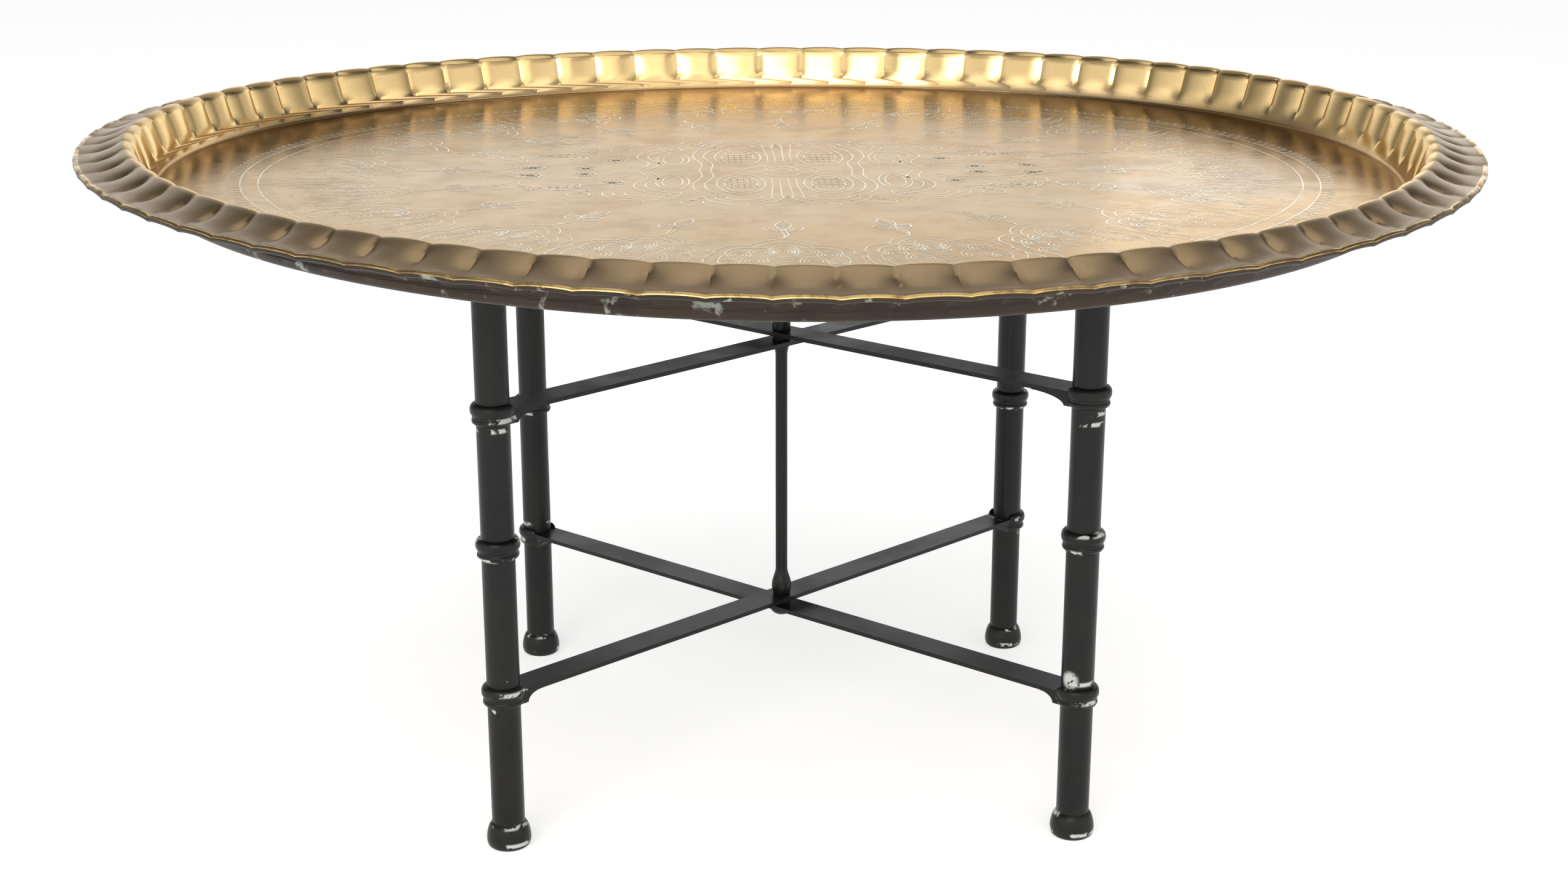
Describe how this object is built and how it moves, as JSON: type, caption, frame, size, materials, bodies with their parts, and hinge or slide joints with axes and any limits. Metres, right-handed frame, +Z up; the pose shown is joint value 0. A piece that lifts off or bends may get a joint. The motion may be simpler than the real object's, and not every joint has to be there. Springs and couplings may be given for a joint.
{
  "type": "tray table",
  "caption": "Round brass tray table: a loose tray with a fluted rim on a folding steel stand whose crossed frames turn about one rod.",
  "frame": {"origin": "on the floor under the middle of the stand and of the tray", "axes": "+Z up; X runs between the left and the right legs, and the front is towards -Y"},
  "size_m": [1.0847, 1.0848, 0.5305],
  "materials": {
    "tray_brass": "aged, unlacquered, engraved",
    "wire_steel": "plain drawn wire",
    "stand_paint": "satin charcoal paint, worn to primer on the beads",
    "plug_plastic": "moulded, matt"
  },
  "bodies": {
    "frame_a": {"leg_tube_fl": "stand_paint", "leg_tube_br": "stand_paint", "upper_collar_fl": "stand_paint", "upper_collar_br": "stand_paint", "middle_ring_fl": "stand_paint", "middle_ring_br": "stand_paint", "lower_collar_fl": "stand_paint", "lower_collar_br": "stand_paint", "foot_fl": "stand_paint", "foot_br": "stand_paint", "top_plug_fl": "plug_plastic", "top_plug_br": "plug_plastic", "upper_bar_a": "stand_paint", "lower_bar_a": "stand_paint", "pivot_rod": "stand_paint", "upper_spacer": "stand_paint", "lower_spacer": "stand_paint", "top_sleeve": "stand_paint", "rivet_head": "stand_paint"},
    "frame_b": {"leg_tube_bl": "stand_paint", "leg_tube_fr": "stand_paint", "upper_collar_bl": "stand_paint", "upper_collar_fr": "stand_paint", "middle_ring_bl": "stand_paint", "middle_ring_fr": "stand_paint", "lower_collar_bl": "stand_paint", "lower_collar_fr": "stand_paint", "foot_bl": "stand_paint", "foot_fr": "stand_paint", "top_plug_bl": "plug_plastic", "top_plug_fr": "plug_plastic", "upper_bar_b": "stand_paint", "lower_bar_b": "stand_paint"},
    "tray": {"tray": "tray_brass", "edge_wire": "wire_steel"}
  },
  "joints": [
    {"name": "fold", "type": "hinge", "parent": "frame_a", "child": "frame_b", "pos_m": [0, 0, 0], "axis": [0, 0, -1], "range_deg": [-77, 88]},
    {"name": "tray_lift", "type": "slide", "parent": "frame_a", "child": "tray", "axis": [0, 0, 1], "range_m": [0, 0.3]}
  ]
}
